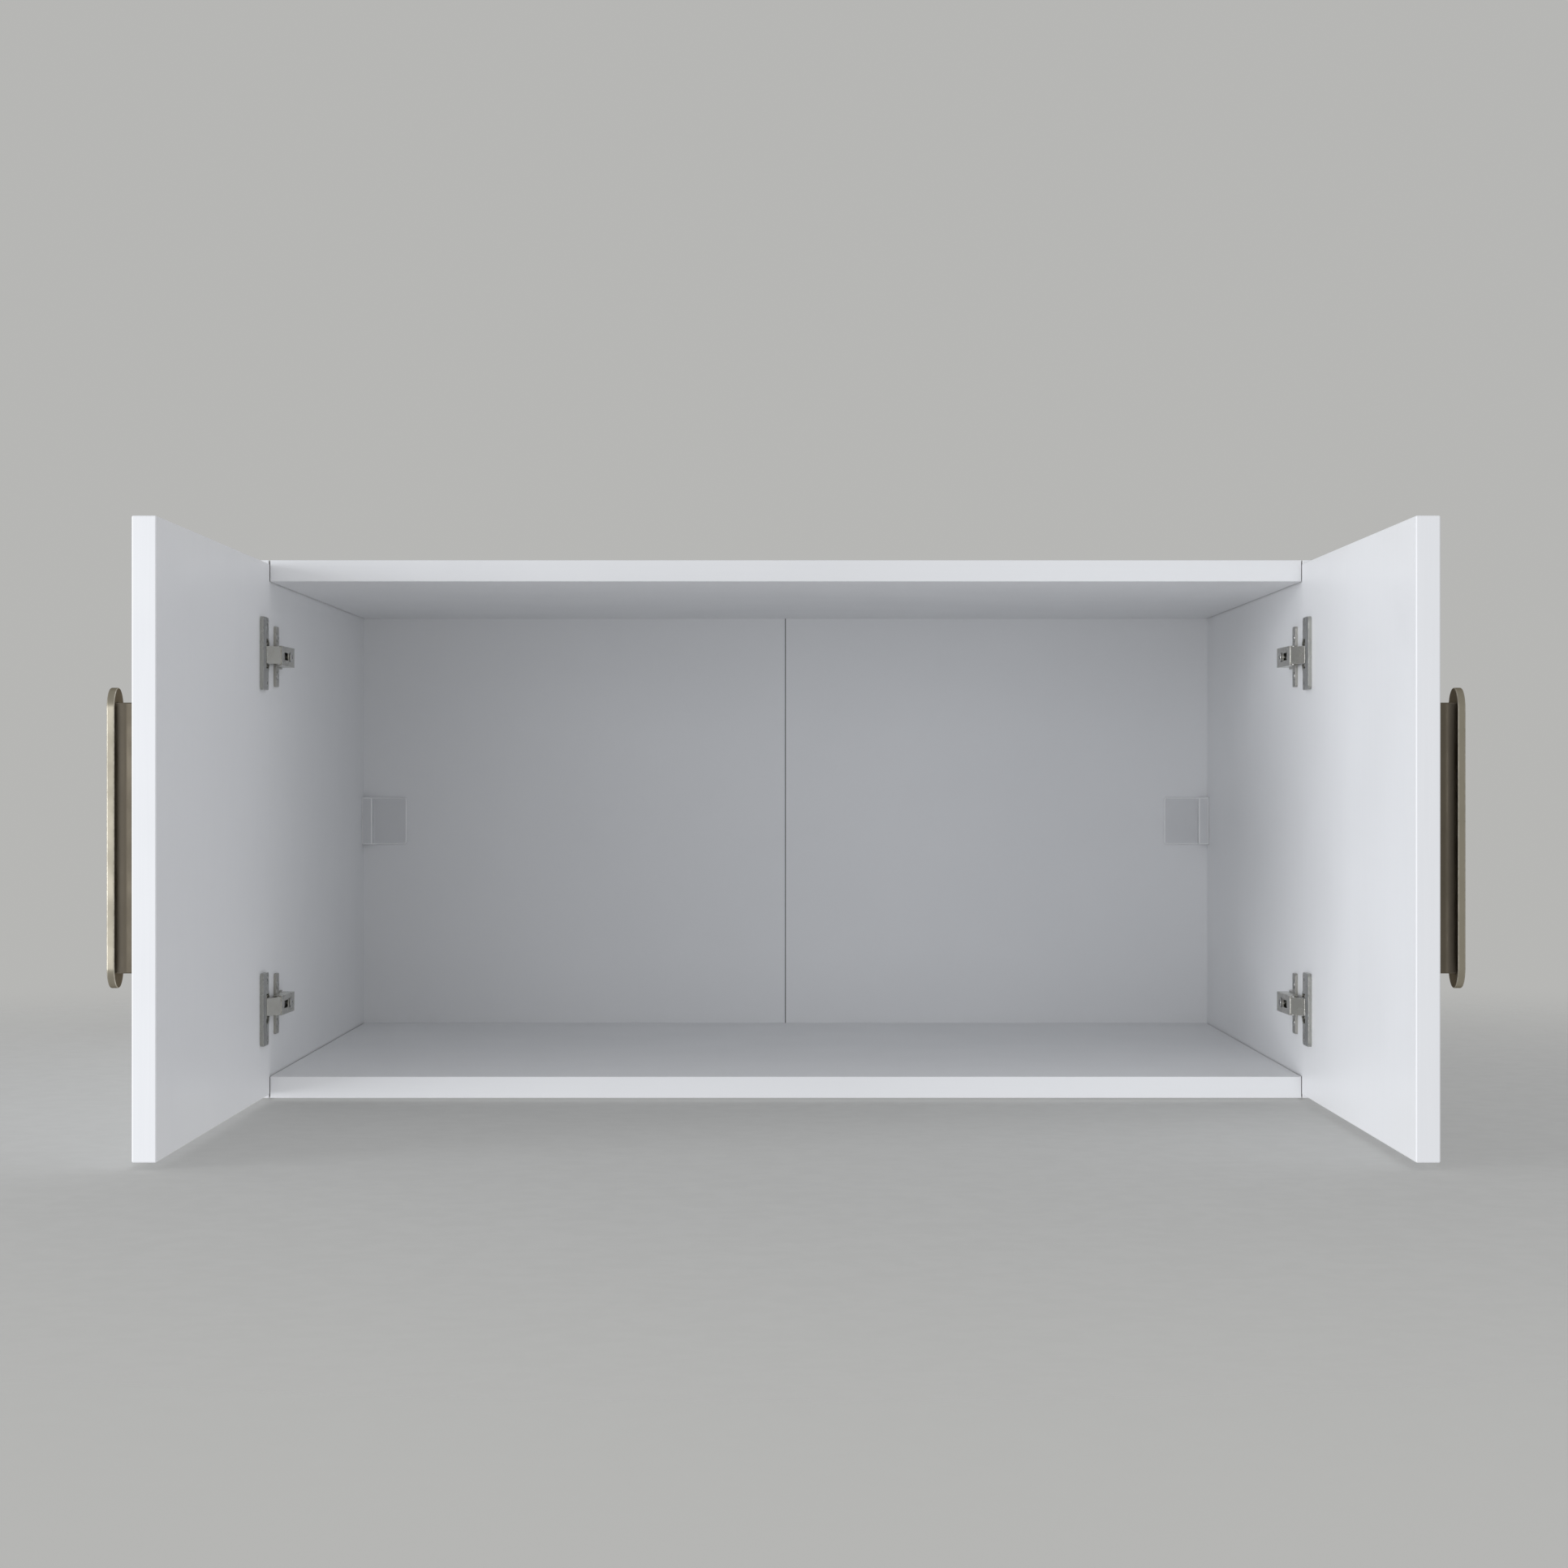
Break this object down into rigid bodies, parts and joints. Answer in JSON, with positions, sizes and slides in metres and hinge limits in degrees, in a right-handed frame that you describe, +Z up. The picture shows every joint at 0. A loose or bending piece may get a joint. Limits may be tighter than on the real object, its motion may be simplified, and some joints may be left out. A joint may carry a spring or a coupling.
{
  "type": "wall cabinet",
  "caption": "Low, wide and deep wall cabinet with an open interior and overlay doors on concealed cup hinges, each door with a round-ended bar pull.",
  "frame": {"origin": "on the wall plane at the cabinet's rear, at the middle of its width and of its height", "axes": "+Y into the wall, +Z up, +X to the right for someone who looks at the open front"},
  "size_m": [0.9436, 1.0116, 0.45],
  "materials": {
    "board": "white melamine, satin",
    "door": "white foil, satin",
    "back": "white lacquered fibreboard",
    "tape": "matt film",
    "nails": "bright drawn wire",
    "zinc": "as cast, satin",
    "dowel": "bare beech",
    "bracket": "zinc plated",
    "cover": "white, satin",
    "cap": "white, satin",
    "screws": "zinc plated",
    "pins": "bright",
    "hinge_steel": "nickel plated, satin",
    "hinge_cast": "nickel plated die casting",
    "handle": "champagne anodised, satin"
  },
  "bodies": {
    "carcass": {"side_panel_left": "board", "side_panel_right": "board", "top_panel": "board", "bottom_panel": "board", "back_leaf_left": "back", "back_leaf_right": "back", "back_seam_tape": "tape", "back_nails": "nails", "cam_locks": "zinc", "cam_bolts": "zinc", "wooden_dowels": "dowel", "wall_bracket_left": "bracket", "wall_bracket_right": "bracket", "bracket_cover_left": "cover", "bracket_cover_right": "cover", "bracket_screws": "screws", "mounting_plate_left_upper": "hinge_cast", "hinge_arm_left_upper": "hinge_steel", "mounting_plate_left_lower": "hinge_cast", "hinge_arm_left_lower": "hinge_steel", "plate_screws_left": "screws", "clamping_screws_left": "screws", "adjusting_screws_left": "screws", "arm_pins_left": "pins", "mounting_plate_right_upper": "hinge_cast", "hinge_arm_right_upper": "hinge_steel", "mounting_plate_right_lower": "hinge_cast", "hinge_arm_right_lower": "hinge_steel", "plate_screws_right": "screws", "clamping_screws_right": "screws", "adjusting_screws_right": "screws", "arm_pins_right": "pins"},
    "links_left": {"hinge_link_left_upper": "hinge_steel", "hinge_link_left_lower": "hinge_steel"},
    "door_left": {"door_left": "door", "hinge_cup_left_upper": "hinge_steel", "hinge_cup_left_lower": "hinge_steel", "cup_pins_left": "pins", "cup_screws_left": "screws", "handle_left": "handle", "handle_screws_left": "screws", "handle_screw_caps_left": "cap"},
    "links_right": {"hinge_link_right_upper": "hinge_steel", "hinge_link_right_lower": "hinge_steel"},
    "door_right": {"door_right": "door", "hinge_cup_right_upper": "hinge_steel", "hinge_cup_right_lower": "hinge_steel", "cup_pins_right": "pins", "cup_screws_right": "screws", "handle_right": "handle", "handle_screws_right": "screws", "handle_screw_caps_right": "cap"}
  },
  "joints": [
    {"name": "links_left_pivot", "type": "hinge", "parent": "carcass", "child": "links_left", "pos_m": [-0.4245, -0.5605, 0], "axis": [0, 0, -1], "range_deg": [-4.1, 36.1]},
    {"name": "door_left_hinge", "type": "hinge", "parent": "links_left", "child": "door_left", "pos_m": [-0.43406, -0.57333, 0], "axis": [0, 0, -1], "range_deg": [-126, 14]},
    {"name": "links_right_pivot", "type": "hinge", "parent": "carcass", "child": "links_right", "pos_m": [0.4245, -0.5605, 0], "axis": [0, 0, 1], "range_deg": [-4.1, 36.1]},
    {"name": "door_right_hinge", "type": "hinge", "parent": "links_right", "child": "door_right", "pos_m": [0.43406, -0.57333, 0], "axis": [0, 0, 1], "range_deg": [-126, 14]}
  ],
  "couplings": [
    {"joint": "links_left_pivot", "follows": "door_left_hinge", "ratio": -0.28571},
    {"joint": "links_right_pivot", "follows": "door_right_hinge", "ratio": -0.28571}
  ]
}
